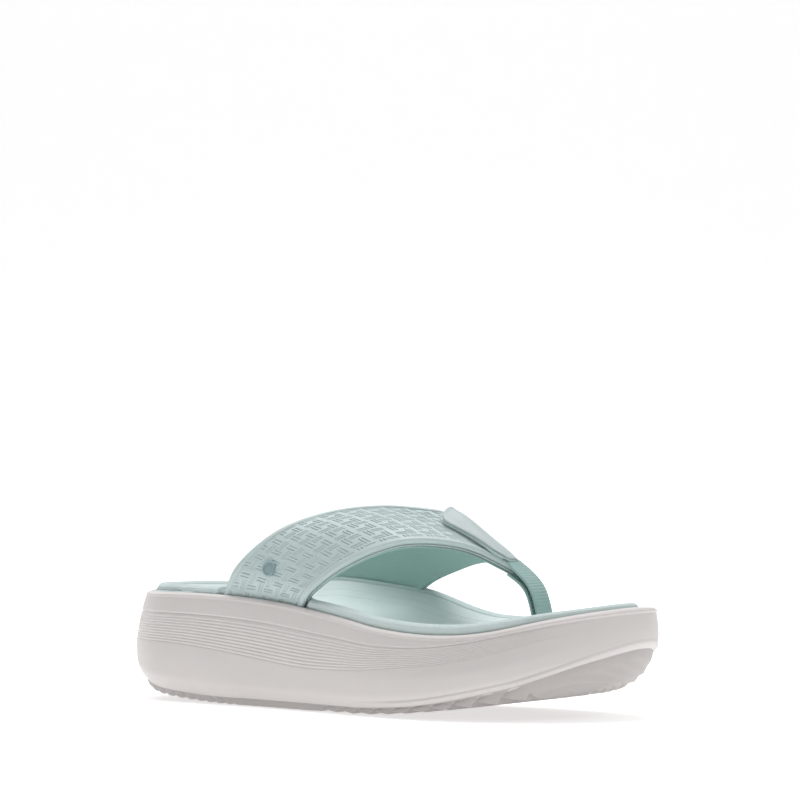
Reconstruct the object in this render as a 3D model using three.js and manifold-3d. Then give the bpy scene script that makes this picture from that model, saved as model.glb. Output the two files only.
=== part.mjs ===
// A platform thong sandal for the right foot: a rockered foam midsole on two ribbed outsole pods, a dished
// footbed with a wrapped edge, and a wide padded strap held at both sides and by a webbing toe post.
//
// Millimetres. The model is drawn with +X from heel to toe, +Y from the outer side of the foot to the inner
// side, +Z up and the ground at z = 0, and is centred on its own box at the end.
import * as THREE from "three";
import { mergeVertices } from "three/addons/utils/BufferGeometryUtils.js";
import Module from "manifold-3d";

const wasm = await Module();
wasm.setup();

// ---------------------------------------------------------------- driving dimensions
const LENGTH = 265; // heel tip to toe tip
const HEEL_OUTER = 34.5; // reach from the centreline at the heel, outer side
const HEEL_INNER = 31;
const WAIST_OUTER = 37.5;
const WAIST_INNER = 33.5;
const BALL_OUTER = 49;
const BALL_INNER = 46;

const HEEL_HEIGHT = 48.8; // ground to the midsole's rim
const FOREFOOT_HEIGHT = 36;
const TOE_HEIGHT = 48;
const ARCH_RISE = 6; // how much higher the inner side stands at the arch
const TOE_SPRING = 13.5; // how far the tread has risen at the toe
const TOE_TURN_UP = 6; // and its extra rise round the very tip
const HEEL_SPRING = 7;

const WALL_LEAN = 5.3; // the rim stands this far inside the widest outline
const BEAD_INSET = 4; // and the bottom bead this far
const TOE_LEAN = 0.25; // share of both that is left at the toe, where the wall stands nearly upright
const LIP = 2.2; // width of the midsole's rim
const GAP = 0.3; // between pieces that are bonded or lie on each other
const OUTSOLE_THICK = 3.4;
const RIB_DEPTH = 2;
const HEEL_PITCH = 7;
const FOREFOOT_PITCH = 10;
const RIB_FLAT = 0.55; // flat foot of each tread rib, as a share of the pitch

const BOARD_THICK = 1.2;
const WRAP_THICK = 0.8;
const COVER_THICK = 0.9;
const ROLL_WIDTH = 6; // width of the footbed's rolled edge
const ROLL_PROUD_ENDS = 3.2; // its height over the rim, at heel and toe
const ROLL_PROUD_BALL = 4.4;
const ROLL_DROP = 2.6; // fall of its rounded flanks
const WRAP_TURN_IN = 5; // how far the wrap is folded in under the footbed

const STRAP_SHELL = 2.2;
const STRAP_FOAM = 1.1;
const STRAP_LINING = 0.7;
const STRAP_CROWN = 2.2;
const STRAP_SINK = 6; // depth of the strap's ends below the rim
const INSTEP_HEIGHT = 50; // height of the room under the strap, over the rim

const WEB_WIDTH = 12;
const WEB_THICK = 1;
const WEB_SPACE = 1.6; // between the two plies above the footbed
const WEB_LEAN = 4; // how far the plies lean back over their lowest WEB_RISE
const WEB_RISE = 10;
const WEB_END = 0.8; // how far back over the strap the ribbon's upper end reaches
const WEB_LIFT = 0.6; // the strap's middle sags below the flat ribbon by this much
const POST_Y = 10; // toe post, towards the inner side
const ANCHOR_RADIUS = 1;
const ANCHOR_LENGTH = 21;
const TAB_WIDTH = 17;
const TAB_TAPER = 0.68; // width of its front end, as a share
const TAB_BACK = 0.2; // where it starts and ends, from the strap's rear edge to its front edge
const TAB_FRONT = 1;
const TAB_PAD = 1.2;
const TAB_TOP = 0.7;
const PIPING_RADIUS = 0.5;
const PLATE_THICK = 0.8;
const BADGE_RADIUS = 3.6;
const BADGE_THICK = 0.7;

// Stations along the length, as x.
const POST_X = 0.805 * LENGTH;
const HEEL_POD_START = 0.026 * LENGTH;
const HEEL_POD_END = 0.3 * LENGTH;
const FOREFOOT_POD_START = 0.46 * LENGTH;
const FOREFOOT_POD_END = 0.93 * LENGTH;

const HALF = 26; // outline steps on each side
const ARM_STEPS = 11; // strap steps on each arm
const WIDTH_STEPS = 8; // and across the strap

// ---------------------------------------------------------------- small helpers
const lerp = THREE.MathUtils.lerp;
const smooth = (x, a, b) => THREE.MathUtils.smoothstep(x, a, b);
const V = (x, y, z = 0) => new THREE.Vector3(x, y, z);

// A smooth function of x through [x, value] knots.
function profile(knots) {
  const curve = new THREE.CatmullRomCurve3(knots.map(([x, z]) => V(x, z)), false, "centripetal");
  const points = curve.getSpacedPoints(120);
  return (x) => {
    const i = points.findIndex((p) => p.x >= x);
    if (i < 0) return points.at(-1).y;
    if (i === 0) return points[0].y;
    const [a, b] = [points[i - 1], points[i]];
    return lerp(a.y, b.y, (x - a.x) / (b.x - a.x || 1));
  };
}

// ---------------------------------------------------------------- plan outline
// Each row is x as a share of the length, and y as a share of one named reach.
const OUTLINE = [
  [0, -0.06, HEEL_OUTER], [0.019, -0.53, HEEL_OUTER], [0.083, -0.91, HEEL_OUTER], [0.19, -1, HEEL_OUTER],
  [0.34, -1, WAIST_OUTER], [0.49, -0.88, BALL_OUTER], [0.62, -0.99, BALL_OUTER], [0.717, -1, BALL_OUTER],
  [0.81, -0.89, BALL_OUTER], [0.898, -0.61, BALL_OUTER], [0.962, -0.245, BALL_OUTER],
  [0.996, 0.17, BALL_INNER], [0.9925, 0.52, BALL_INNER], [0.951, 0.78, BALL_INNER],
  [0.875, 0.945, BALL_INNER], [0.774, 1, BALL_INNER], [0.66, 0.945, BALL_INNER], [0.528, 0.82, BALL_INNER],
  [0.377, 1, WAIST_INNER], [0.226, 1, HEEL_INNER], [0.094, 0.87, HEEL_INNER], [0.0226, 0.52, HEEL_INNER],
];

// The two sides, each from heel tip to toe tip, as evenly spaced points with outward normals.
function outlineSides() {
  const points = OUTLINE.map(([share, reach, size]) => V(share * LENGTH, reach * size));
  const curve = new THREE.CatmullRomCurve3(points, true, "centripetal");
  const fine = curve.getSpacedPoints(600).slice(0, -1);
  const toe = fine.reduce((best, p, i) => (p.x > fine[best].x ? i : best), 0);
  const side = (list) =>
    Array.from({ length: HALF + 1 }, (_, i) => {
      const k = Math.round((i / HALF) * (list.length - 1));
      const [a, b] = [list[Math.max(k - 1, 0)], list[Math.min(k + 1, list.length - 1)]];
      return { p: list[k], t: b.clone().sub(a).normalize() };
    });
  const outer = side(fine.slice(0, toe + 1));
  const inner = side([fine[0], ...fine.slice(toe).reverse()]);
  outer.forEach((s) => (s.n = V(s.t.y, -s.t.x)));
  inner.forEach((s) => (s.n = V(-s.t.y, s.t.x)));
  for (const [i, x] of [[0, -1], [HALF, 1]]) outer[i].n = inner[i].n = V(x, 0);
  return { outer, inner };
}
const SIDES = outlineSides();
// One loop: the outer side from heel to toe, then the inner side back.
const LOOP = [...SIDES.outer, ...SIDES.inner.slice(1, -1).reverse()];

const sideY = (side, x) => {
  const i = Math.max(1, side.findIndex((s) => s.p.x >= x));
  const [a, b] = [side[i - 1].p, side[i].p];
  return lerp(a.y, b.y, THREE.MathUtils.clamp((x - a.x) / (b.x - a.x || 1), 0, 1));
};
// 0 on the outer half of the foot, rising to 1 at the inner edge.
const inward = (p) => {
  const [a, b] = [sideY(SIDES.outer, p.x), sideY(SIDES.inner, p.x)];
  return b - a < 1 ? 0 : smooth((p.y - a) / (b - a), 0.3, 0.95);
};

// Where the middle of a ring closes: a line down the middle of the foot.
const SPINE_MARGIN = 30;
const SPINE = LOOP.map((_, k) => {
  const i = k <= HALF ? k : 2 * HALF - k;
  const x = lerp(SPINE_MARGIN, LENGTH - SPINE_MARGIN, i / HALF);
  return V(x, (sideY(SIDES.outer, x) + sideY(SIDES.inner, x)) / 2);
});

// ---------------------------------------------------------------- heights
const rimOuter = profile([
  [-10, HEEL_HEIGHT - 0.2], [0, HEEL_HEIGHT], [0.226 * LENGTH, HEEL_HEIGHT + 0.3],
  [0.377 * LENGTH, lerp(HEEL_HEIGHT, FOREFOOT_HEIGHT, 0.16)],
  [0.51 * LENGTH, lerp(HEEL_HEIGHT, FOREFOOT_HEIGHT, 0.52)],
  [0.62 * LENGTH, lerp(HEEL_HEIGHT, FOREFOOT_HEIGHT, 0.87)], [0.736 * LENGTH, FOREFOOT_HEIGHT],
  [0.811 * LENGTH, lerp(FOREFOOT_HEIGHT, TOE_HEIGHT, 0.13)],
  [0.906 * LENGTH, lerp(FOREFOOT_HEIGHT, TOE_HEIGHT, 0.6)],
  [LENGTH, TOE_HEIGHT], [LENGTH + 10, TOE_HEIGHT + 1],
]);
const archAt = (x) =>
  smooth(x, 0.21 * LENGTH, 0.377 * LENGTH) * (1 - smooth(x, 0.515 * LENGTH, 0.67 * LENGTH));
const rimZ = (p) => rimOuter(p.x) + ARCH_RISE * archAt(p.x) * inward(p);
// How far the footbed's rolled edge stands above the rim.
const proudAt = (x) =>
  lerp(ROLL_PROUD_ENDS, ROLL_PROUD_BALL,
    smooth(x, 0.25 * LENGTH, 0.57 * LENGTH) * (1 - smooth(x, 0.82 * LENGTH, 0.94 * LENGTH)));
// Depth of the footbed's floor below the rim.
const dishDepth = profile([
  [-10, 3.5], [0.15 * LENGTH, 3.7], [0.42 * LENGTH, 4.2], [0.57 * LENGTH, 1.8], [0.72 * LENGTH, -0.4],
  [0.8 * LENGTH, -0.6], [0.9 * LENGTH, 0.4], [LENGTH + 10, 1],
]);
const dishZ = (x) => rimOuter(x) - dishDepth(x);
const FOOTBED_THICK = 5;
const recessZ = (x) => dishZ(x) - FOOTBED_THICK - BOARD_THICK - 2 * GAP;
// The underside of the tread.
const groundZ = (x) => {
  const toe = Math.max(0, (x - 0.56 * LENGTH) / (0.42 * LENGTH));
  const tip = Math.max(0, (x - 0.86 * LENGTH) / (0.14 * LENGTH));
  const heel = Math.max(0, 1 - x / (0.27 * LENGTH));
  return TOE_SPRING * toe ** 1.6 + TOE_TURN_UP * tip ** 1.5 + HEEL_SPRING * heel ** 2;
};
// The bottom bead of the side wall, which climbs away from the tread at both ends.
const BEAD_CLIMB_TOE = 5.5;
const BEAD_CLIMB_HEEL = 3;
const beadZ = (x) => {
  const toe = Math.max(0, (x - 0.68 * LENGTH) / (0.32 * LENGTH));
  const heel = Math.max(0, 1 - x / (0.12 * LENGTH));
  return groundZ(x) + OUTSOLE_THICK + BEAD_CLIMB_TOE * toe ** 1.6 + BEAD_CLIMB_HEEL * heel ** 2;
};

// ---------------------------------------------------------------- building solids
function geometryOf(positions, index) {
  const g = new THREE.BufferGeometry();
  const numbers = positions.flatMap((p) => [p.x, p.y, p.z]);
  g.setAttribute("position", new THREE.Float32BufferAttribute(numbers, 3));
  g.setIndex(index);
  const merged = mergeVertices(g, 1e-3);
  merged.computeVertexNormals();
  return merged;
}

// A closed skin through rings of equal size. An end ring lies on the spine, where its two halves meet; with
// closed true the last ring joins the first instead, as on a band that runs round the foot. Each quad is
// split along its shorter diagonal seen from above, so that parallel layers split alike.
const SPLIT_MARGIN = 1e-6;
function ringSolid(rings, closed = false) {
  const n = rings[0].length;
  const points = rings.flat();
  const span = (i, j) => Math.hypot(points[i].x - points[j].x, points[i].y - points[j].y);
  const index = [];
  const last = closed ? rings.length : rings.length - 1;
  for (let r = 0; r < last; r++) {
    const [a, b] = [r * n, ((r + 1) % rings.length) * n];
    for (let i = 0; i < n; i++) {
      const j = (i + 1) % n;
      const [p, q, r, s] = [a + i, a + j, b + j, b + i];
      if (span(p, r) < span(q, s) - SPLIT_MARGIN) index.push(p, q, r, p, r, s);
      else index.push(p, q, s, q, r, s);
    }
  }
  return geometryOf(points, index);
}

const ringAt = (inset, z) =>
  LOOP.map(({ p, n }) => {
    const q = p.clone().addScaledVector(n, -inset);
    q.z = z(q);
    return q;
  });
const ringInside = (inset, share, z) =>
  LOOP.map(({ p, n }, k) => {
    const q = p.clone().addScaledVector(n, -inset).lerp(SPINE[k], share);
    q.z = z(q, k);
    return q;
  });

// A sheet of surface(u, v), between two depths below its outer face.
function sheetSolid(surface, us, vs, top, bottom) {
  const point = (u, v, depth) => {
    const { p, n } = surface(u, v);
    return p.clone().addScaledVector(n, -depth);
  };
  const grid = (depth) => us.map((u) => vs.map((v) => point(u, v, depth))).flat();
  const [nu, nv] = [us.length, vs.length];
  const at = (layer, i, j) => layer * nu * nv + i * nv + j;
  const index = [];
  const quad = (a, b, c, d) => index.push(a, c, b, a, d, c);
  for (let i = 0; i + 1 < nu; i++)
    for (let j = 0; j + 1 < nv; j++) {
      quad(at(0, i, j), at(0, i + 1, j), at(0, i + 1, j + 1), at(0, i, j + 1));
      quad(at(1, i, j), at(1, i, j + 1), at(1, i + 1, j + 1), at(1, i + 1, j));
    }
  for (let i = 0; i + 1 < nu; i++) {
    quad(at(0, i, 0), at(1, i, 0), at(1, i + 1, 0), at(0, i + 1, 0));
    quad(at(0, i, nv - 1), at(0, i + 1, nv - 1), at(1, i + 1, nv - 1), at(1, i, nv - 1));
  }
  for (let j = 0; j + 1 < nv; j++) {
    quad(at(0, 0, j), at(0, 0, j + 1), at(1, 0, j + 1), at(1, 0, j));
    quad(at(0, nu - 1, j), at(1, nu - 1, j), at(1, nu - 1, j + 1), at(0, nu - 1, j + 1));
  }
  return geometryOf([...grid(top), ...grid(bottom)], index);
}

// manifold-3d, for cuts only.
function solidOf(geometry) {
  const g = geometry.clone();
  g.deleteAttribute("normal");
  g.deleteAttribute("uv");
  const merged = mergeVertices(g, 1e-3);
  const solid = new wasm.Manifold(new wasm.Mesh({
    numProp: 3,
    vertProperties: new Float32Array(merged.attributes.position.array),
    triVerts: new Uint32Array(merged.index.array),
  }));
  return solid;
}
function geometryFrom(solid) {
  const mesh = solid.getMesh();
  const g = new THREE.BufferGeometry();
  g.setAttribute("position", new THREE.BufferAttribute(new Float32Array(mesh.vertProperties), 3));
  g.setIndex(new THREE.BufferAttribute(new Uint32Array(mesh.triVerts), 1));
  g.computeVertexNormals();
  return g;
}
const cut = (geometry, ...tools) =>
  geometryFrom(tools.reduce((solid, tool) => solid.subtract(solidOf(tool)), solidOf(geometry)));
const common = (a, b) => geometryFrom(solidOf(a).intersect(solidOf(b)));
const box = (x, y, z, centre) => new THREE.BoxGeometry(x, y, z).translate(centre.x, centre.y, centre.z);

// ---------------------------------------------------------------- sole
const RECESS_INSET = WALL_LEAN + LIP;
const FOOT_INSET = RECESS_INSET + GAP; // outer face of the footbed
// The side wall, from the bead at 0 to the rim at 1: [height share, inset].
const WALL = [
  [0, BEAD_INSET], [0.1, 1.6], [0.25, 0.3], [0.42, 0],
  [0.58, 0.9], [0.8, 2.8], [0.96, 4.7], [1, WALL_LEAN + 0.4],
];
const leanAt = (x) => lerp(1, TOE_LEAN, smooth(x, 0.84 * LENGTH, 0.98 * LENGTH));
const wallRing = ([share, inset]) =>
  LOOP.map(({ p, n }) => {
    const q = p.clone().addScaledVector(n, -inset * leanAt(p.x));
    return q.setZ(lerp(beadZ(q.x), rimZ(q), share));
  });

// Every flat layer in the recess closes through the same three rings, so that the layers stay parallel.
const FLOOR_INSET = FOOT_INSET + 6;
const floorRings = (z) => [
  ringInside(FOOT_INSET, 1, z), ringInside(FOOT_INSET, 0.5, z), ringAt(FLOOR_INSET, z),
];

const UNDERCUT = 7; // the wall turns under the bead over this width
const RIM_BEVEL = 0.3;
function midsole() {
  const underside = (q) => groundZ(q.x) + OUTSOLE_THICK;
  const rings = [
    ringInside(BEAD_INSET, 1, underside),
    ringInside(BEAD_INSET, 0.45, underside),
    ringAt(BEAD_INSET + UNDERCUT, underside),
    ...WALL.map(wallRing),
    ringAt(RECESS_INSET - RIM_BEVEL, rimZ),
    ringAt(RECESS_INSET, (q) => recessZ(q.x)),
    ...floorRings((q) => recessZ(q.x)).reverse(),
  ];
  return cut(ringSolid(rings), anchorPocket());
}

// The tread is cut from an upright prism of the outline by a side profile with ribs.
const POD_INSET = BEAD_INSET + 1.2;
const POD_TOP_STEPS = 12;
function outsolePod(from, to, spacing, depth = RIB_DEPTH) {
  const outline = ringAt(POD_INSET, () => 0).map((q) => new THREE.Vector2(q.x, q.y));
  const upright = { depth: 2 * HEEL_HEIGHT, bevelEnabled: false };
  const prism = new THREE.ExtrudeGeometry(new THREE.Shape(outline), upright);
  const side = [];
  const count = Math.max(2, Math.round((to - from) / spacing));
  const pitch = (to - from) / count;
  const slope = (pitch * (1 - RIB_FLAT)) / 2;
  for (let i = 0; i < count; i++) {
    const x = from + i * pitch;
    side.push(new THREE.Vector2(x, groundZ(x) + depth));
    for (const foot of [x + slope, x + pitch - slope]) side.push(new THREE.Vector2(foot, groundZ(foot)));
  }
  side.push(new THREE.Vector2(to, groundZ(to) + depth));
  const top = Array.from({ length: POD_TOP_STEPS + 1 }, (_, i) => lerp(to, from, i / POD_TOP_STEPS));
  side.push(...top.map((x) => new THREE.Vector2(x, groundZ(x) + OUTSOLE_THICK - GAP)));
  const width = 3 * BALL_OUTER;
  const ribs = new THREE.ExtrudeGeometry(new THREE.Shape(side), { depth: width, bevelEnabled: false })
    .rotateX(Math.PI / 2)
    .translate(0, width / 2, 0);
  return common(prism, ribs);
}

const insoleBoard = () => {
  const bottom = (q) => recessZ(q.x) + GAP;
  const top = (q) => bottom(q) + BOARD_THICK;
  return cut(ringSolid([...floorRings(bottom), ...floorRings(top).reverse()]), postSlot());
};

// ---------------------------------------------------------------- footbed
const rollZ = (p) => rimZ(p) + proudAt(p.x);
const DISH_INSET = FOOT_INSET + ROLL_WIDTH;
const DISH_DROP = 0.3 * ROLL_DROP; // the dish starts this far below the top of the roll
const DISH_SHARES = [0.035, 0.25, 0.55, 1]; // the cover starts a sliver inside the rolled edge

// Height of the dished top at a share of the way from the rolled edge to the spine, less a depth.
const dishRing = (share, depth) =>
  ringInside(DISH_INSET, share, (q, k) => {
    const { p, n } = LOOP[k];
    const edge = p.clone().addScaledVector(n, -DISH_INSET);
    const steep = lerp(3, 1.7, inward(edge) * archAt(edge.x));
    return lerp(dishZ(q.x), rollZ(edge) - DISH_DROP, (1 - share) ** steep) - depth;
  });
// The rolled edge from its foot to where the dish starts: [share of the roll's width, drop below its top].
const ROLL = [[0, 1], [0.04, 0.45], [0.2, 0.12], [0.45, 0], [0.75, 0.1], [1, 0.3]];
const rollRing = ([share, drop], skin) =>
  ringAt(lerp(FOOT_INSET, DISH_INSET, share) + skin * (share < 0.5 ? 1 - 2 * share : 0), (q) => {
    const foot = recessZ(q.x) + GAP + BOARD_THICK + GAP;
    return drop === 1 ? foot + skin : rollZ(q) - drop * ROLL_DROP - skin;
  });

function footbedCore(room) {
  const skin = WRAP_THICK + GAP;
  const foot = (q) => recessZ(q.x) + 2 * GAP + BOARD_THICK + WRAP_THICK + GAP;
  const rings = [
    ...floorRings(foot),
    ringAt(FOOT_INSET + skin, foot),
    ...ROLL.slice(1).map((r) => rollRing(r, skin)),
    ...DISH_SHARES.map((s) => dishRing(s, COVER_THICK + 2 * GAP)),
  ];
  return cut(ringSolid(rings), postSlot(), ...room);
}

function edgeWrap(room) {
  const foot = (q) => recessZ(q.x) + 2 * GAP + BOARD_THICK;
  const skin = WRAP_THICK;
  const rings = [
    ringAt(FOOT_INSET + WRAP_TURN_IN, foot),
    ...ROLL.map((r) => rollRing(r, 0)),
    ...ROLL.slice(1).reverse().map((r) => rollRing(r, skin)),
    ringAt(FOOT_INSET + skin, (q) => foot(q) + skin),
    ringAt(FOOT_INSET + WRAP_TURN_IN, (q) => foot(q) + skin),
  ];
  return cut(ringSolid(rings, true), ...room);
}

function footbedCover(room) {
  const rings = [
    ...DISH_SHARES.toReversed().map((s) => dishRing(s, COVER_THICK)),
    ...DISH_SHARES.map((s) => dishRing(s, 0)),
  ];
  return cut(ringSolid(rings), postSlot(), ...room);
}

// ---------------------------------------------------------------- strap
// Its two edges run from the outer foot over the middle to the inner foot. The feet stand in the gap beside
// the footbed, at these shares of the length. The points between are shares of the length, of the outer reach
// at the ball, and of the instep height over the rim.
const REAR_EDGE = {
  feet: [0.24, 0.294],
  points: [
    [0.274, -0.598, 0.27], [0.343, -0.46, 0.62], [0.411, -0.194, 0.82], [0.497, 0.04, 0.945],
    [0.592, 0.204, 0.99],
    [0.562, 0.34, 0.94], [0.487, 0.44, 0.8], [0.408, 0.51, 0.6], [0.334, 0.54, 0.3],
  ],
};
const FRONT_EDGE = {
  feet: [0.4245, 0.495],
  points: [
    [0.452, -0.714, 0.158], [0.517, -0.633, 0.468], [0.598, -0.378, 0.735], [0.679, -0.061, 0.75],
    [0.74, 0.214, 0.59],
    [0.713, 0.337, 0.61], [0.664, 0.418, 0.592], [0.593, 0.53, 0.45], [0.536, 0.58, 0.28],
  ],
};

// A point on the same straight-sided ring as the footbed's outer face, at the rim.
function footOf(side, x) {
  const list = SIDES[side];
  const i = Math.max(1, list.findIndex((s) => s.p.x >= x));
  const [a, b] = [list[i - 1], list[i]];
  const inner = (s) => s.p.clone().addScaledVector(s.n, -FOOT_INSET);
  const p = inner(a).lerp(inner(b), (x - a.p.x) / (b.p.x - a.p.x));
  return p.setZ(rimZ(p));
}

function strapEdge({ feet, points }) {
  const between = points.map(([x, y, rise]) =>
    V(x * LENGTH, y * BALL_OUTER, rimOuter(x * LENGTH) + rise * INSTEP_HEIGHT));
  const ends = [footOf("outer", feet[0] * LENGTH), footOf("inner", feet[1] * LENGTH)];
  return new THREE.CatmullRomCurve3([ends[0], ...between, ends[1]], false, "centripetal");
}
const REAR = strapEdge(REAR_EDGE);
const FRONT = strapEdge(FRONT_EDGE);

// A point of the strap's outer face. u runs from -1 at the outer foot through 0 in the middle to 1 at the
// inner foot; beyond either foot it drops straight into the gap, with |u| = 2 at the buried end. v goes from
// the rear edge (0) to the front edge (1).
function strapPoint(u, v) {
  const side = u < 0 ? "outer" : "inner";
  const reach = Math.abs(u);
  const [rear, front] = [REAR_EDGE, FRONT_EDGE].map((edge) => edge.feet[u < 0 ? 0 : 1] * LENGTH);
  const foot = footOf(side, lerp(rear, front, v));
  if (reach >= 1) return foot.setZ(foot.z - STRAP_SINK * (reach - 1));
  const straight = footOf(side, rear).lerp(footOf(side, front), v);
  // Near its foot the strap follows the sole's curve.
  const bow = foot.sub(straight).multiplyScalar(smooth(reach, 0.6, 1));
  return REAR.getPoint((u + 1) / 2).lerp(FRONT.getPoint((u + 1) / 2), v).add(bow);
}

function strapSurface(u, v) {
  const h = 0.01;
  const du = strapPoint(u + h, v).sub(strapPoint(u - h, v));
  const dv = strapPoint(u, v + h).sub(strapPoint(u, v - h));
  const n = dv.cross(du).normalize();
  const across = du.cross(n).normalize();
  const flat = THREE.MathUtils.clamp(2 * (1 - Math.abs(u)), 0, 1);
  const crown = STRAP_CROWN * flat * Math.sin(Math.PI * v);
  return { p: strapPoint(u, v).addScaledVector(n, crown), n, across };
}

const ARM = Array.from({ length: ARM_STEPS + 1 }, (_, i) => i / ARM_STEPS);
const ARCH_U = [...ARM.map((t) => t - 1), ...ARM.slice(1)];
const PLATE_FROM = 1.15; // the stiffener plates start just below the rim
const STRAP_U = [-2, -PLATE_FROM, ...ARCH_U, PLATE_FROM, 2];
const STRAP_V = Array.from({ length: WIDTH_STEPS + 1 }, (_, i) => i / WIDTH_STEPS);
const WIDER_V = [-0.02, ...STRAP_V.slice(1, -1), 1.02]; // with room to spare at both edges
const FOAM_TOP = STRAP_SHELL + GAP;
const LINING_TOP = FOAM_TOP + STRAP_FOAM + GAP;
const STRAP_TOTAL = LINING_TOP + STRAP_LINING;

const strapLayer = (top, thick) => sheetSolid(strapSurface, STRAP_U, STRAP_V, top, top + thick);
// The room that the strap takes out of the footbed, on both sides.
const ROOM_OUT = 3; // past the strap's outer face
const strapRoom = (deeper = 0) => {
  const depth = STRAP_TOTAL + PLATE_THICK + 2 * GAP + deeper;
  const ends = (us) => sheetSolid(strapSurface, us, WIDER_V, -ROOM_OUT, depth);
  return [ends([-2.1, ...STRAP_U.slice(1, 5)]), ends([...STRAP_U.slice(-5, -1), 2.1])];
};
// A stiffener on the inner face of each buried end.
const anchorPlate = (side) =>
  sheetSolid(strapSurface, side < 0 ? [-2, -PLATE_FROM] : [PLATE_FROM, 2], STRAP_V, STRAP_TOTAL + GAP,
    STRAP_TOTAL + GAP + PLATE_THICK);

// A cord beside an edge of the strap, depth below its outer face. It stops short of the strap's feet.
const CORD_REACH = 0.86;
function strapCord(v, depth, radius, beyond) {
  const us = ARCH_U.map((u) => u * CORD_REACH);
  const points = us.map((u) => {
    const { p, n, across } = strapSurface(u, v);
    return p.addScaledVector(n, -depth).addScaledVector(across, beyond);
  });
  const section = new THREE.Shape(
    Array.from({ length: 6 }, (_, i) => {
      const a = (i * Math.PI) / 3;
      return new THREE.Vector2(radius * Math.cos(a), radius * Math.sin(a));
    }),
  );
  const path = new THREE.CatmullRomCurve3(points);
  return new THREE.ExtrudeGeometry(section, { steps: 56, extrudePath: path });
}

// ---------------------------------------------------------------- toe post and tab
const POST_BASE = V(POST_X, POST_Y, dishZ(POST_X));
const POST_TURN = ANCHOR_RADIUS + GAP + WEB_THICK / 2; // from the bar's centre to the middle of the ribbon
const SLOT_LENGTH = 2 * POST_TURN + WEB_THICK + 2 * GAP;
const ANCHOR_Z = recessZ(POST_X) - ANCHOR_RADIUS;
const postSlot = () => box(SLOT_LENGTH, WEB_WIDTH + 1, INSTEP_HEIGHT, V(POST_X, POST_Y, POST_BASE.z));
const POCKET_OPEN = 2; // the pocket's cutter reaches this far into the recess
const anchorPocket = () => {
  const height = 2 * ANCHOR_RADIUS + WEB_THICK + 2 * GAP + POCKET_OPEN;
  const centre = V(POST_X, POST_Y, recessZ(POST_X) + POCKET_OPEN - height / 2);
  return box(SLOT_LENGTH, ANCHOR_LENGTH + 2 * GAP, height, centre);
};
const toePostAnchor = () =>
  new THREE.CylinderGeometry(ANCHOR_RADIUS, ANCHOR_RADIUS, ANCHOR_LENGTH, 16)
    .translate(POST_X, POST_Y, ANCHOR_Z);

// The middle of the strap seen from the side: a point at a depth below its outer face, or ahead of its tip
// where v is over 1.
const AHEAD = 50;
function middleFrame(v) {
  const { p, n } = strapSurface(0, Math.min(v, 1));
  const along = strapSurface(0, 1).p.sub(strapSurface(0, 0.9).p).normalize();
  n.y = 0;
  return { p: p.addScaledVector(along, AHEAD * Math.max(0, v - 1)), n: n.normalize() };
}
const middleAt = (v, depth) => {
  const { p, n } = middleFrame(v);
  p.addScaledVector(n, -depth);
  return new THREE.Vector2(p.x, p.z);
};
const sideOn = (x, z) => new THREE.Vector2(x, z);

// One ribbon: from under the tab over the strap's tip, down through the footbed, round the anchor bar and
// back up to the front of the strap's tip.
function toePostWebbing() {
  const half = WEB_THICK / 2;
  const front = WEB_SPACE / 2 + half;
  const top = POST_BASE.z + 4;
  const over = -GAP - WEB_LIFT - half;
  const lead = middleAt(1.04, over);
  const tail = middleAt(1.045, FOAM_TOP + half);
  const leg = (x) => [sideOn(x - WEB_LEAN, top + WEB_RISE), sideOn(x, top)];
  const down = new THREE.CubicBezierCurve(lead, middleAt(1.22, over), ...leg(POST_X + front));
  const [knee, foot] = leg(POST_X - front);
  const up = new THREE.CubicBezierCurve(foot, knee, middleAt(1.12, FOAM_TOP + half), tail);
  const round = Array.from({ length: 7 }, (_, i) => {
    const a = (-i * Math.PI) / 6;
    return sideOn(POST_X + POST_TURN * Math.cos(a), ANCHOR_Z + POST_TURN * Math.sin(a));
  });
  const line = [
    middleAt(WEB_END, over), middleAt(0.95, over), ...down.getPoints(8), ...round, ...up.getPoints(8),
  ];
  const offset = (side) =>
    line.map((p, i) => {
      const d = line[Math.min(i + 1, line.length - 1)].clone().sub(line[Math.max(i - 1, 0)]).normalize();
      return sideOn(p.x - side * half * d.y, p.y + side * half * d.x);
    });
  const shape = new THREE.Shape([...offset(1), ...offset(-1).reverse()]);
  return new THREE.ExtrudeGeometry(shape, { depth: WEB_WIDTH, bevelEnabled: false })
    .rotateX(Math.PI / 2)
    .translate(0, POST_Y + WEB_WIDTH / 2, 0);
}

// The tab lies over the middle of the strap: a runs across it and b along it. It rests on the strap at the
// back and rises over the end of the ribbon towards the front.
const tabSurface = (a, b) => {
  const v = lerp(TAB_BACK, TAB_FRONT, b);
  const { p, n } = middleFrame(v);
  const lift = GAP + (WEB_LIFT + WEB_THICK + GAP) * smooth(v, WEB_END - 0.5, WEB_END - 0.05);
  p.addScaledVector(n, lift);
  return { p: p.add(V(0, a * TAB_WIDTH * lerp(1, TAB_TAPER, b), 0)), n };
};
const TAB_A = [-0.5, -0.38, 0, 0.38, 0.5];
const TAB_B = [0, 0.15, 0.3, 0.45, 0.6, 0.75, 0.9, 1];
const tabLayer = (from, thick) => sheetSolid(tabSurface, TAB_A, TAB_B, -from - thick, -from);

// A plain round badge on the outer arm.
const BADGE_AT = [-0.76, 0.4];
function sideBadge() {
  const { p, n } = strapSurface(...BADGE_AT);
  const disc = new THREE.CylinderGeometry(BADGE_RADIUS, BADGE_RADIUS, BADGE_THICK, 24);
  disc.applyQuaternion(new THREE.Quaternion().setFromUnitVectors(V(0, 1, 0), n));
  p.addScaledVector(n, 2 * GAP + BADGE_THICK / 2);
  return disc.translate(p.x, p.y, p.z);
}

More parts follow.
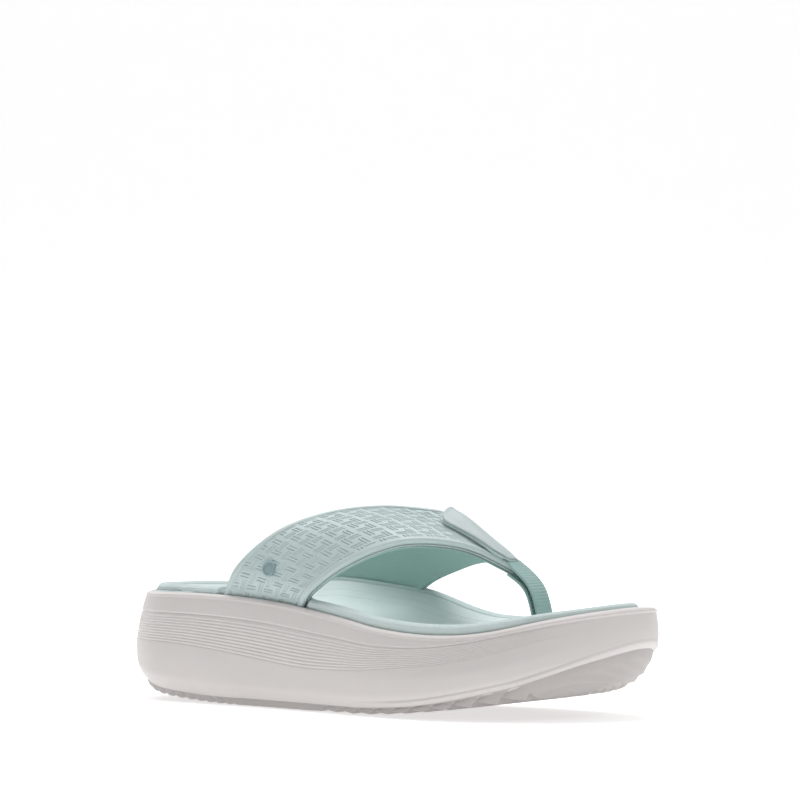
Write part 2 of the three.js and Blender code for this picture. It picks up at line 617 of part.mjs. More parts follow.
// ---------------------------------------------------------------- assembly
const COLOURS = {
  foam: 0xdedad6, rubber: 0xd9d5d1, mint: 0xbfd6d2, lining: 0x7fa39c, board: 0xb9a78c, web: 0x93b3b2,
};
const material = (color, roughness) => new THREE.MeshStandardMaterial({ color, roughness, metalness: 0 });
const model = new THREE.Group();
function add(name, geometry, color, roughness = 0.7) {
  const mesh = new THREE.Mesh(geometry, material(color, roughness));
  mesh.name = name;
  model.add(mesh);
}

const room = strapRoom();
const wrapRoom = strapRoom(ROLL_WIDTH); // the rolled edge is left out along the strap's feet
add("midsole", midsole(), COLOURS.foam, 0.6);
const waist = [HEEL_POD_END + GAP, FOREFOOT_POD_START - GAP];
const forefoot = [FOREFOOT_POD_START, FOREFOOT_POD_END];
add("heel_outsole", outsolePod(HEEL_POD_START, HEEL_POD_END, HEEL_PITCH), COLOURS.rubber, 0.75);
add("waist_outsole", outsolePod(...waist, FOREFOOT_PITCH, 0), COLOURS.rubber, 0.75);
add("forefoot_outsole", outsolePod(...forefoot, FOREFOOT_PITCH), COLOURS.rubber, 0.75);
add("insole_board", insoleBoard(), COLOURS.board);
add("footbed_core", footbedCore(room), COLOURS.mint);
add("footbed_edge_wrap", edgeWrap(wrapRoom), COLOURS.mint);
add("footbed_cover", footbedCover(room), COLOURS.mint);
add("strap_shell", strapLayer(0, STRAP_SHELL), COLOURS.mint);
add("strap_foam", strapLayer(FOAM_TOP, STRAP_FOAM), COLOURS.mint);
add("strap_lining", strapLayer(LINING_TOP, STRAP_LINING), COLOURS.lining);
const SEAM = STRAP_SHELL + PIPING_RADIUS;
const PIPING_REACH = 1.6 * GAP + PIPING_RADIUS; // from the strap's edge to the middle of its piping
add("front_piping", strapCord(1, SEAM, PIPING_RADIUS, PIPING_REACH), COLOURS.mint);
add("rear_piping", strapCord(0, SEAM, PIPING_RADIUS, -PIPING_REACH), COLOURS.mint);
add("outer_anchor_plate", anchorPlate(-1), COLOURS.board);
add("inner_anchor_plate", anchorPlate(1), COLOURS.board);
add("toe_post_webbing", toePostWebbing(), COLOURS.web);
add("toe_post_anchor", toePostAnchor(), COLOURS.board);
add("tab_pad", tabLayer(0, TAB_PAD), COLOURS.mint);
add("tab_top", tabLayer(TAB_PAD + GAP, TAB_TOP), COLOURS.foam);
add("side_badge", sideBadge(), COLOURS.lining);

// The origin is the middle of the base of the whole sandal's box.
const bounds = new THREE.Box3().setFromObject(model);
const middle = bounds.getCenter(new THREE.Vector3());
model.position.set(-middle.x, -middle.y, -bounds.min.z);

export default model;
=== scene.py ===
"""Looks for the platform thong sandal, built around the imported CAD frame.

Shapes are worked out in millimetres: x from the heel tip to the toe, y from the sole's centreline towards the
inner side of the foot, and z from the ground. to_frame() moves them into the frame, which is in metres.
"""
import math

import bmesh
import bpy
import numpy as np
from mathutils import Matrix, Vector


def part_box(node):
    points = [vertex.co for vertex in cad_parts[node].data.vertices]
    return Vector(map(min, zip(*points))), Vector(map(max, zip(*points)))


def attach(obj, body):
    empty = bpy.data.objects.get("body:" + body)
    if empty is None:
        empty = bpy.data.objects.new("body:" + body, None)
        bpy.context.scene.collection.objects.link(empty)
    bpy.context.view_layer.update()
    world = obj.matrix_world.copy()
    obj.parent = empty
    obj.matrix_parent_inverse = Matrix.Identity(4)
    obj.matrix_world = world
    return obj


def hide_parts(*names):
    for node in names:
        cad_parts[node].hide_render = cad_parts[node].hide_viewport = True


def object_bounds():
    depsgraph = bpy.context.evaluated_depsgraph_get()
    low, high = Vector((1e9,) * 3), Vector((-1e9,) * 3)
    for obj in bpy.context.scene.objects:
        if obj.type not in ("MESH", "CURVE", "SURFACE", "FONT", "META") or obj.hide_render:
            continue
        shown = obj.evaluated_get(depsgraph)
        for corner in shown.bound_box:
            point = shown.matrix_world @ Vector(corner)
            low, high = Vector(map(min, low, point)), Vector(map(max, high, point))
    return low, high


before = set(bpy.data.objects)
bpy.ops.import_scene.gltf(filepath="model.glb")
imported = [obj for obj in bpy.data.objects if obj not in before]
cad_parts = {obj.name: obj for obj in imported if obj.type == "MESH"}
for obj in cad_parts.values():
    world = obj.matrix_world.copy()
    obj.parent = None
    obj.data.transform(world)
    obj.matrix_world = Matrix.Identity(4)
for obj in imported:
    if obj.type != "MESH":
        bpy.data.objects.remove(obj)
CAD_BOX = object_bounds()

# ---------------------------------------------------------------- sizes, from the frame
LOW, HIGH = (np.array(corner) * 1000 for corner in CAD_BOX)
LENGTH = HIGH[0] - LOW[0]
WIDTH = HIGH[1] - LOW[1]
BALL_OUTER, BALL_INNER = 0.5145 * WIDTH, 0.483 * WIDTH
WAIST_OUTER, WAIST_INNER = 0.394 * WIDTH, 0.352 * WIDTH
HEEL_OUTER, HEEL_INNER = 0.362 * WIDTH, 0.3255 * WIDTH
ORIGIN = np.array([LOW[0], LOW[1] + 0.518 * WIDTH, 0.0])  # heel tip on the centreline

HEEL_HEIGHT = 48.8
FOREFOOT_HEIGHT = 36.0
TOE_HEIGHT = 48.0
ARCH_RISE = 6.0
TOE_SPRING = 13.5
TOE_TURN_UP = 6.0
HEEL_SPRING = 7.0
OUTSOLE_THICK = 3.4
WALL_LEAN = 5.3
BEAD_INSET = 4.0
TOE_LEAN = 0.25
RECESS_INSET = 7.5  # from the widest outline to the inner edge of the rim
FOOT_INSET = RECESS_INSET + 0.3
ROLL_WIDTH = 6.0
DISH_INSET = FOOT_INSET + ROLL_WIDTH
ROLL_DROP = 2.6
STRAP_SHELL, STRAP_FOAM, STRAP_LINING = 2.2, 1.1, 0.7
LAYER_GAP = 0.3
FOAM_TOP = STRAP_SHELL + LAYER_GAP
LINING_TOP = FOAM_TOP + STRAP_FOAM + LAYER_GAP
STRAP_CROWN = 2.2
STRAP_SINK = 6.0
INSTEP_HEIGHT = 50.0
POST_X = 0.805 * LENGTH
POST_Y = 10.0
WEB_WIDTH, WEB_THICK, WEB_SPACE = 12.0, 1.0, 1.6


# ---------------------------------------------------------------- curves
def smooth(x, a, b):
    t = np.clip((np.asarray(x, float) - a) / (b - a), 0, 1)
    return t * t * (3 - 2 * t)


def mix(a, b, t):
    return a + (b - a) * t


def bump(x, centre, width):
    """1 at the centre, falling smoothly to 0 at half the width on either side."""
    return np.clip(1 - (2 * (np.asarray(x, float) - centre) / width) ** 2, 0, 1) ** 2


def curve_at(points, t, closed=False):
    """Points of a centripetal Catmull-Rom curve, with every stretch between knots the same share of t."""
    p = np.asarray(points, float)
    spans = len(p) if closed else len(p) - 1
    if closed:
        p = np.vstack([p[-1], p, p[0], p[1]])
    else:
        p = np.vstack([2 * p[0] - p[1], p, 2 * p[-1] - p[-2]])
    s = np.clip(np.asarray(t, float) * spans, 0, spans - 1e-9)
    i = s.astype(int)
    w = (s - i)[:, None]
    p0, p1, p2, p3 = p[i], p[i + 1], p[i + 2], p[i + 3]
    pairs = ((p0, p1), (p1, p2), (p2, p3))
    d0, d1, d2 = (np.linalg.norm(b - a, axis=1)[:, None] ** 0.5 for a, b in pairs)
    m1 = ((p1 - p0) / d0 - (p2 - p0) / (d0 + d1) + (p2 - p1) / d1) * d1
    m2 = ((p2 - p1) / d1 - (p3 - p1) / (d1 + d2) + (p3 - p2) / d2) * d1
    return p1 + m1 * w + (3 * (p2 - p1) - 2 * m1 - m2) * w**2 + (2 * (p1 - p2) + m1 + m2) * w**3


def profile(knots):
    """A smooth function of x through (x, value) knots."""
    line = curve_at(knots, np.linspace(0, 1, 600))
    return lambda x: np.interp(x, line[:, 0], line[:, 1])


def lengths(points):
    return np.r_[0, np.cumsum(np.linalg.norm(np.diff(points, axis=0), axis=1))]


def evenly(points, n):
    d = lengths(points)
    s = np.linspace(0, d[-1], n)
    return np.stack([np.interp(s, d, points[:, k]) for k in range(points.shape[1])], 1)


def bezier(a, b, c, d, n):
    t = np.linspace(0, 1, n)[:, None]
    return a * (1 - t) ** 3 + 3 * b * t * (1 - t) ** 2 + 3 * c * t**2 * (1 - t) + d * t**3


# ---------------------------------------------------------------- plan outline
# Each row is x as a share of the length, and y as a share of one reach.
OUTLINE = [
    (0, -0.06, HEEL_OUTER), (0.019, -0.53, HEEL_OUTER), (0.083, -0.91, HEEL_OUTER), (0.19, -1, HEEL_OUTER),
    (0.34, -1, WAIST_OUTER), (0.49, -0.88, BALL_OUTER), (0.62, -0.99, BALL_OUTER), (0.717, -1, BALL_OUTER),
    (0.81, -0.89, BALL_OUTER), (0.898, -0.61, BALL_OUTER), (0.962, -0.245, BALL_OUTER),
    (0.996, 0.17, BALL_INNER), (0.9925, 0.52, BALL_INNER), (0.951, 0.78, BALL_INNER),
    (0.875, 0.945, BALL_INNER), (0.774, 1, BALL_INNER), (0.66, 0.945, BALL_INNER), (0.528, 0.82, BALL_INNER),
    (0.377, 1, WAIST_INNER), (0.226, 1, HEEL_INNER), (0.094, 0.87, HEEL_INNER), (0.0226, 0.52, HEEL_INNER),
]


OUTLINE_POINTS = 8000


def outline_loop(n):
    """Points and outward normals round the sole: n steps along the outer side to the toe, then n back."""
    knots = [(share * LENGTH, reach * size) for share, reach, size in OUTLINE]
    line = evenly(curve_at(knots, np.linspace(0, 1, OUTLINE_POINTS), True), OUTLINE_POINTS)
    toe = line[:, 0].argmax()
    loop = np.vstack([evenly(line[: toe + 1], n + 1)[:-1], evenly(line[toe:], n + 1)[:-1]])
    tangent = np.roll(loop, -2, 0) + np.roll(loop, -1, 0) - np.roll(loop, 1, 0) - np.roll(loop, 2, 0)
    tangent /= np.linalg.norm(tangent, axis=1)[:, None]
    return loop, np.stack([tangent[:, 1], -tangent[:, 0]], 1)


COARSE = 600
EDGE, EDGE_NORMAL = outline_loop(COARSE)
OUTER_SIDE = EDGE[: COARSE + 1]
INNER_SIDE = np.vstack([EDGE[COARSE:], EDGE[:1]])[::-1]


def outer_y(x):
    return np.interp(x, OUTER_SIDE[:, 0], OUTER_SIDE[:, 1])


def inner_y(x):
    return np.interp(x, INNER_SIDE[:, 0], INNER_SIDE[:, 1])


class Loop:
    """The outline at some resolution, with the line down the middle of the foot that its rings close on."""

    def __init__(self, n):
        self.p, self.n = outline_loop(n)
        k = np.arange(2 * n)
        x = mix(30, LENGTH - 30, np.where(k <= n, k, 2 * n - k) / n)
        self.spine = np.stack([x, (outer_y(x) + inner_y(x)) / 2], 1)

    def ring(self, inset, share=0.0):
        q = self.p - self.n * np.asarray(inset, float).reshape(-1, 1)
        return self.spine.copy() if share == 1 else mix(q, self.spine, share)


# ---------------------------------------------------------------- heights
rim_outer = profile([
    (-10, HEEL_HEIGHT - 0.2), (0, HEEL_HEIGHT), (0.226 * LENGTH, HEEL_HEIGHT + 0.3),
    (0.377 * LENGTH, mix(HEEL_HEIGHT, FOREFOOT_HEIGHT, 0.16)),
    (0.51 * LENGTH, mix(HEEL_HEIGHT, FOREFOOT_HEIGHT, 0.52)),
    (0.62 * LENGTH, mix(HEEL_HEIGHT, FOREFOOT_HEIGHT, 0.87)), (0.736 * LENGTH, FOREFOOT_HEIGHT),
    (0.811 * LENGTH, mix(FOREFOOT_HEIGHT, TOE_HEIGHT, 0.13)),
    (0.906 * LENGTH, mix(FOREFOOT_HEIGHT, TOE_HEIGHT, 0.6)),
    (LENGTH, TOE_HEIGHT), (LENGTH + 10, TOE_HEIGHT + 1),
])
dish_depth = profile([
    (-10, 3.5), (0.15 * LENGTH, 3.7), (0.42 * LENGTH, 4.2), (0.57 * LENGTH, 1.8), (0.72 * LENGTH, -0.4),
    (0.8 * LENGTH, -0.6), (0.9 * LENGTH, 0.4), (LENGTH + 10, 1),
])


def arch_at(x):
    return smooth(x, 0.21 * LENGTH, 0.377 * LENGTH) * (1 - smooth(x, 0.515 * LENGTH, 0.67 * LENGTH))


def inward(q):
    a, b = outer_y(q[:, 0]), inner_y(q[:, 0])
    return np.where(b - a < 1, 0, smooth((q[:, 1] - a) / np.maximum(b - a, 1), 0.3, 0.95))


def rim_z(q):
    return rim_outer(q[:, 0]) + ARCH_RISE * arch_at(q[:, 0]) * inward(q)


def roll_z(q):
    x = q[:, 0]
    ball = smooth(x, 0.25 * LENGTH, 0.57 * LENGTH) * (1 - smooth(x, 0.82 * LENGTH, 0.94 * LENGTH))
    return rim_z(q) + mix(3.2, 4.4, ball)


def dish_z(x):
    return rim_outer(x) - dish_depth(x)


def recess_z(x):
    return dish_z(x) - 6.8


def ground_z(x):
    toe = np.maximum(0, (x - 0.56 * LENGTH) / (0.42 * LENGTH))
    tip = np.maximum(0, (x - 0.86 * LENGTH) / (0.14 * LENGTH))
    heel = np.maximum(0, 1 - x / (0.27 * LENGTH))
    return TOE_SPRING * toe**1.6 + TOE_TURN_UP * tip**1.5 + HEEL_SPRING * heel**2


def bead_z(x):
    toe = np.maximum(0, (x - 0.68 * LENGTH) / (0.32 * LENGTH))
    heel = np.maximum(0, 1 - x / (0.12 * LENGTH))
    return ground_z(x) + OUTSOLE_THICK + 8 * toe**1.6 + 3 * heel**2


def lean_at(x):
    return mix(1, TOE_LEAN, smooth(x, 0.84 * LENGTH, 0.98 * LENGTH))


# ---------------------------------------------------------------- meshes
def to_frame(points):
    return (np.asarray(points, float) + ORIGIN) / 1000


def add_mesh(name, points, faces):
    """A mesh of the points, its faces turned so that they point outwards. Each piece is nearly all quads, so
    their signed volume about its middle tells which way they face."""
    quads = np.array([f for f in faces if len(f) == 4])
    a, b, c, d = (np.asarray(points)[quads[:, k]] - np.mean(points, 0) for k in range(4))
    if np.einsum("ij,ij->", a, np.cross(b + c, c + d)) < 0:
        faces = [f[::-1] for f in faces]
    mesh = bpy.data.meshes.new(name)
    mesh.from_pydata(to_frame(points).tolist(), [], faces)
    mesh.validate()
    mesh.shade_smooth()
    obj = bpy.data.objects.new(name, mesh)
    bpy.context.scene.collection.objects.link(obj)
    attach(obj, "root")
    return obj


def grid_faces(rows, cols, close_rows=False, close_cols=True):
    r = np.arange(rows if close_rows else rows - 1)
    c = np.arange(cols if close_cols else cols - 1)
    a, b = np.meshgrid(r, c, indexing="ij")
    a2, b2 = (a + 1) % rows, (b + 1) % cols
    quads = [a * cols + b, a * cols + b2, a2 * cols + b2, a2 * cols + b]
    return np.stack(quads, -1).reshape(-1, 4).tolist()


WELD = 1e-7  # metres


def loft(name, rings, close=False):
    """A skin through closed loops of equal size. Unless it closes on itself, its end rings lie folded on the
    spine, and are joined there."""
    around = len(rings[0])
    obj = add_mesh(name, np.vstack(rings), grid_faces(len(rings), around, close))
    if not close:
        shape = bmesh.new()
        shape.from_mesh(obj.data)
        shape.verts.ensure_lookup_table()
        ends = shape.verts[:around] + shape.verts[-around:]
        bmesh.ops.remove_doubles(shape, verts=ends, dist=WELD)
        shape.to_mesh(obj.data)
        shape.free()
    return obj


def closed_strip(name, rows):
    """A long piece whose cross-section at each station is the closed loop of rows, capped at both ends."""
    grid = np.stack(rows, 1)
    stations, around = grid.shape[:2]
    faces = grid_faces(stations, around)
    faces.append(list(range(around))[::-1])
    faces.append([(stations - 1) * around + k for k in range(around)])
    return add_mesh(name, grid.reshape(-1, 3), faces)


def with_z(q, z):
    return np.column_stack([q, z])


# ---------------------------------------------------------------- materials
def linear(r, g, b):
    """Linear light from an 8-bit display colour."""
    return tuple(((c / 255 + 0.055) / 1.055) ** 2.4 for c in (r, g, b))


WAVE_TURN = 314  # scale of a wave texture whose bands are 1 mm apart


def material(name, colour, roughness, shade=0.06, grain=600, depth=0.02, sheen=0.0, weave=0.0):
    """A moulded or fabric finish: colour mottled at two scales, uneven gloss, a fine grain, and for cloth a
    weave of the given pitch in millimetres."""
    mat = bpy.data.materials.new(name)
    mat.use_nodes = True
    nodes, links = mat.node_tree.nodes, mat.node_tree.links
    shader = nodes["Principled BSDF"]
    shader.inputs["Sheen Weight"].default_value = sheen
    shader.inputs["Sheen Roughness"].default_value = 0.5
    where = nodes.new("ShaderNodeTexCoord").outputs["Object"]

    def noise(scale, detail):
        node = nodes.new("ShaderNodeTexNoise")
        node.inputs["Scale"].default_value = scale
        node.inputs["Detail"].default_value = detail
        links.new(where, node.inputs["Vector"])
        return node.outputs["Fac"]

    def spread(value, low, high):
        node = nodes.new("ShaderNodeMapRange")
        node.inputs["From Min"].default_value = 0.3
        node.inputs["From Max"].default_value = 0.7
        node.inputs["To Min"].default_value = low
        node.inputs["To Max"].default_value = high
        links.new(value, node.inputs["Value"])
        return node.outputs["Result"]

    def math_node(kind, a, b):
        node = nodes.new("ShaderNodeMath")
        node.operation = kind
        for socket, value in zip(node.inputs, (a, b)):
            if isinstance(value, float):
                socket.default_value = value
            else:
                links.new(value, socket)
        return node.outputs[0]

    broad = spread(noise(28, 4), 1 - shade, 1 + shade)
    fine = spread(noise(260, 3), 1 - shade / 2, 1 + shade / 2)
    mottle = math_node("MULTIPLY", broad, fine)
    scale = nodes.new("ShaderNodeVectorMath")
    scale.operation = "SCALE"
    scale.inputs[0].default_value = colour
    links.new(mottle, scale.inputs["Scale"])
    links.new(scale.outputs["Vector"], shader.inputs["Base Color"])
    links.new(spread(noise(90, 3), roughness - 0.07, roughness + 0.07), shader.inputs["Roughness"])
    height = noise(grain, 2)
    if weave:
        bands = []
        for direction in ("X", "Y", "Z"):
            node = nodes.new("ShaderNodeTexWave")
            node.bands_direction = direction
            node.inputs["Scale"].default_value = WAVE_TURN / weave
            links.new(where, node.inputs["Vector"])
            bands.append(node.outputs["Fac"])
        level = math_node("MULTIPLY", bands[0], bands[1])
        upright = math_node("MULTIPLY", bands[2], 0.7)
        height = math_node("ADD", height, math_node("ADD", level, upright))
    relief = nodes.new("ShaderNodeBump")
    relief.inputs["Strength"].default_value = 0.6
    relief.inputs["Distance"].default_value = depth / 1000
    links.new(height, relief.inputs["Height"])
    links.new(relief.outputs["Normal"], shader.inputs["Normal"])
    return mat


MAT = {
    "foam": material("sole_foam", linear(214, 209, 207), 0.5, 0.012, 1400, 0.03),
    # The tread's colour is painted shade. The real tread is the same off-white as the sole foam, but this
    # colour is darker to stand in for the shade under the sole.
    "tread": material("tread_foam_painted_shade", linear(184, 179, 177), 0.6, 0.02, 1200, 0.05),
    "strap": material("strap_shell_mould", linear(192, 208, 208), 0.4, 0.015, 1800, 0.02),
    "lining": material("strap_lining_cloth", linear(166, 198, 192), 0.8, 0.03, 2500, 0.08, 0.15, 0.9),
    "foot": material("footbed_skin", linear(217, 230, 228), 0.6, 0.015, 2200, 0.05, 0.1),
    "wrap": material("footbed_knit", linear(205, 220, 219), 0.7, 0.03, 2600, 0.06, 0.1),
    "web": material("grosgrain_yarn", linear(150, 182, 179), 0.72, 0.05, 3500, 0.06, 0.2),
    "tab": material("tab_mould", linear(184, 197, 198), 0.42, 0.015, 1500, 0.015),
    "tab_side": material("tab_padding", linear(184, 203, 202), 0.5, 0.02, 1500, 0.02),
    "thread": material("seam_thread", linear(205, 219, 218), 0.6, 0.04, 4000, 0.04),
    "badge": material("badge_plastic", linear(142, 166, 170), 0.4, 0.03, 1500, 0.02),
    "foam_inner": material("hidden_foam", linear(176, 190, 188), 0.7, 0.03, 900, 0.05),
    "board": material("fibre_board", linear(168, 150, 126), 0.8, 0.08, 700, 0.08),
    "plastic": material("anchor_plastic", linear(120, 128, 128), 0.45, 0.03, 1200, 0.02),
}


def dress(obj, mat, slot, *nodes):
    obj.data.materials.clear()
    obj.data.materials.append(MAT[mat])
    if nodes:
        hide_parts(*nodes)
    return obj


# ---------------------------------------------------------------- sole
# The side wall, from the bead at 0 to the rim at 1: (height share, inset).
wall_inset = profile([
    (0, BEAD_INSET), (0.08, 1.7), (0.2, 0.3), (0.36, 0), (0.56, 0.8), (0.8, 2.8), (0.96, 4.7),
    (1, WALL_LEAN + 0.4),
])
# Depths below the rim of the groove over the ribbed band, and of the band's lower edge.
groove_at = profile([
    (-10, 9), (0.1 * LENGTH, 9.1), (0.434 * LENGTH, 9.4), (0.668 * LENGTH, 6.2), (0.823 * LENGTH, 2.9),
    (0.9 * LENGTH, 2.6), (LENGTH + 10, 2.2),
])
band_end_at = profile([
    (-10, 21.7), (0.1 * LENGTH, 22.3), (0.434 * LENGTH, 25.7), (0.668 * LENGTH, 15), (0.823 * LENGTH, 9.8),
    (0.9 * LENGTH, 7.7), (LENGTH + 10, 5),
])
BAND_RIBS = 11
RIB_DEPTH = 0.2
STEPS_PER_RIB = 7
GROOVE_CUT, GROOVE_WIDE = 0.45, 1.2  # the groove over the band
LIP_ROUND, LIP_INSET = 1.1, 0.9
LIP_PROUD = 0.4
BEAD_PROUD = 1.1
TOE_REACH = 1.0  # the wall stands this much further out at the tip of the toe
TREAD_OVERLAP = 1.5  # the wall's base lies this far inside the tread's flat underside


def wall_depths(height, groove, end):
    """Depths below the rim at every ring of the wall, with each ring's place in the ribbed band or None."""
    for s in np.linspace(0, 1, 44)[:-1]:
        yield mix(height, end, s**0.9), None
    for s in np.linspace(0, 1, BAND_RIBS * STEPS_PER_RIB + 1)[:-1]:
        yield mix(end, groove, s), s
    for s in np.linspace(0, 1, 34):
        yield groove * (1 - s), None


def rim_crest(x):
    """Inset of the wall's top edge."""
    return wall_inset(1.0) * lean_at(x) + LIP_INSET - TOE_REACH * smooth(x, 0.93 * LENGTH, LENGTH)


def sole_wall():
    loop = Loop(330)
    x = loop.p[:, 0]
    lean = lean_at(x)
    top = rim_z(loop.ring(WALL_LEAN * lean))
    height = top - bead_z(x)
    groove = groove_at(x)
    fade = 1 - smooth(x, 0.86 * LENGTH, 0.97 * LENGTH)
    beaded = smooth(x, 0.5 * LENGTH, 0.72 * LENGTH) * mix(1, 0.3, smooth(x, 0.88 * LENGTH, 0.98 * LENGTH))
    push = TOE_REACH * smooth(x, 0.93 * LENGTH, LENGTH)
    rings = []
    for share in (1, 0):
        q = loop.ring(tread_foot(x) + TREAD_OVERLAP, share)
        rings.append(with_z(q, ground_z(q[:, 0]) + OUTSOLE_THICK))
    for depth, band in wall_depths(height, groove, band_end_at(x)):
        inset = wall_inset(1 - depth / height) * lean - push
        if band is not None:
            inset = inset + fade * RIB_DEPTH * (0.5 - 0.5 * math.cos(2 * math.pi * BAND_RIBS * band))
        inset = inset + fade * GROOVE_CUT * bump(depth, groove, GROOVE_WIDE)
        inset = inset - LIP_PROUD * bump(depth, 1.2, 2.2)
        inset = inset + LIP_INSET * (1 - np.sqrt(1 - np.clip(1 - depth / LIP_ROUND, 0, 1) ** 2))
        inset = inset - beaded * BEAD_PROUD * bump(height - depth, 1.4, 3.0)
        rings.append(with_z(loop.ring(inset), top - depth))
    for share, sink in ((0.4, -0.05), (0.8, 0.0), (0.97, 0.25)):
        rings.append(with_z(loop.ring(mix(rim_crest(x), RECESS_INSET, share)), top - sink))
    for share in (0, 0.3, 1):
        q = loop.ring(RECESS_INSET, share)
        rings.append(with_z(q, recess_z(q[:, 0])))
    return dress(loft("sole_wall", rings), "foam", "sole_foam", "midsole")


TREAD_SETBACK = 0.35  # from the wall's lowest edge to the tread's
TREAD_ROUND = 3.0
LOBES = (0.47 * LENGTH, 0.875 * LENGTH)
LOBE_PITCH = 10.3
LOBE_CUT = (1.3, 3.4)  # at the first lobe and at the last
LOBE_SLANT = 7.0  # how much further back a notch is at the bottom than at the bead
HEEL_LOBES = (0.03 * LENGTH, 0.27 * LENGTH)
HEEL_PITCH = 6.0
HEEL_CUT = 1.2
TIP_CENTRE = np.array([0.86 * LENGTH, 4.0])
TIP_PITCH = 3.6
TIP_CUT = 0.9


def tread_foot(x):
    """Inset where the tread's rounded side meets its flat underside."""
    side_height = bead_z(x) - ground_z(x) - OUTSOLE_THICK
    return BEAD_INSET * lean_at(x) + TREAD_SETBACK + TREAD_ROUND + side_height


def tread_cut(q, side):
    """How deep the tread is cut back at q; side is 1 up at the bead and 0 on the flat underside."""
    x = q[:, 0]
    lobed = smooth(x, LOBES[0] - 5, LOBES[0] + 5) * (1 - smooth(x, LOBES[1] - 2, LOBES[1] + 3))
    phase = (x + LOBE_SLANT * (1 - side) - LOBES[0]) / LOBE_PITCH
    notch = 1 - np.mod(phase, 1) ** 0.8 * (1 - smooth(np.mod(phase, 1), 0.86, 1))
    cut = lobed * mix(LOBE_CUT[0], LOBE_CUT[1], smooth(x, LOBES[0], LOBES[1])) * notch
    heel_start, heel_end = HEEL_LOBES
    heel = smooth(x, heel_start - 3, heel_start + 3) * (1 - smooth(x, heel_end - 4, heel_end + 4))
    cut += heel * HEEL_CUT * (1 - np.abs(np.sin(np.pi * x / HEEL_PITCH)) ** 0.7)
    tip = smooth(x, LOBES[1] - 1, LOBES[1] + 5) * (1 - smooth(side, 0.35, 0.7))
    reach = np.hypot(x - TIP_CENTRE[0], 0.8 * (q[:, 1] - TIP_CENTRE[1]))
    cut += tip * TIP_CUT * (0.5 - 0.5 * np.cos(2 * np.pi * reach / TIP_PITCH))
    return cut


def tread():
    loop = Loop(520)
    x = loop.p[:, 0]
    top = bead_z(x)
    start = BEAD_INSET * lean_at(x) + TREAD_SETBACK
    foot = tread_foot(x)
    rings = []
    for share in (1, 0):
        q = loop.ring(foot + 1, share)
        rings.append(with_z(q, ground_z(q[:, 0]) + OUTSOLE_THICK - LAYER_GAP))
    rings.append(with_z(loop.ring(start + 0.6), top - 0.2))
    for a in np.linspace(0, math.pi / 2, 44):
        inset = mix(foot, start, math.cos(a))
        q = loop.ring(inset)
        side = 1 - math.sin(a)
        cut = tread_cut(q, side) * smooth(math.sin(a), 0.02, 0.22)
        z = mix(top, ground_z(q[:, 0]), math.sin(a))
        sideways = cut * math.cos(a) * mix(1, 0.3, smooth(x, LOBES[1] - 4, LOBES[1] + 8))
        rings.append(with_z(loop.ring(inset + sideways), z + cut * math.sin(a)))
    for share in np.linspace(0, 1, 80)[1:]:
        q = loop.ring(foot, share)
        rings.append(with_z(q, ground_z(q[:, 0]) + tread_cut(q, 0)))
    obj = loft("tread", rings)
    # The tread takes the darker material, whose colour is painted shade for the underside of the sole.
    return dress(obj, "tread", "tread_rubber", "heel_outsole", "waist_outsole", "forefoot_outsole")


# ---------------------------------------------------------------- strap
REAR_FEET, FRONT_FEET = (0.24, 0.294), (0.4245, 0.495)
REAR_POINTS = [
    (0.274, -0.598, 0.27), (0.343, -0.46, 0.62), (0.411, -0.194, 0.82), (0.497, 0.04, 0.945),
    (0.592, 0.204, 0.99),
    (0.562, 0.34, 0.94), (0.487, 0.44, 0.8), (0.408, 0.51, 0.6), (0.334, 0.54, 0.3),
]
FRONT_POINTS = [
    (0.452, -0.714, 0.158), (0.517, -0.633, 0.468), (0.598, -0.378, 0.735), (0.679, -0.061, 0.75),
    (0.74, 0.214, 0.59),
    (0.713, 0.337, 0.61), (0.664, 0.418, 0.592), (0.593, 0.53, 0.45), (0.536, 0.58, 0.28),
]
FOOT_RING = EDGE - EDGE_NORMAL * FOOT_INSET
FOOT_RING = with_z(FOOT_RING, rim_z(FOOT_RING))
FEET = (
    (OUTER_SIDE[:, 0], FOOT_RING[: COARSE + 1]),
    (INNER_SIDE[:, 0], np.vstack([FOOT_RING[COARSE:], FOOT_RING[:1]])[::-1]),
)


def foot_of(side, x):
    xs, ring = FEET[side]
    return np.stack([np.interp(x, xs, ring[:, k]) for k in range(3)], -1)


def strap_edge(feet, points):
    between = [
        (x * LENGTH, y * BALL_OUTER, rim_outer(x * LENGTH) + rise * INSTEP_HEIGHT) for x, y, rise in points
    ]
    return np.vstack([foot_of(0, feet[0] * LENGTH), between, foot_of(1, feet[1] * LENGTH)])


REAR, FRONT = strap_edge(REAR_FEET, REAR_POINTS), strap_edge(FRONT_FEET, FRONT_POINTS)
TONGUE = 4.5  # how far the middle of the front edge reaches past its curve
FORWARD = (FRONT - REAR)[len(REAR) // 2]
FORWARD = FORWARD / np.linalg.norm(FORWARD)


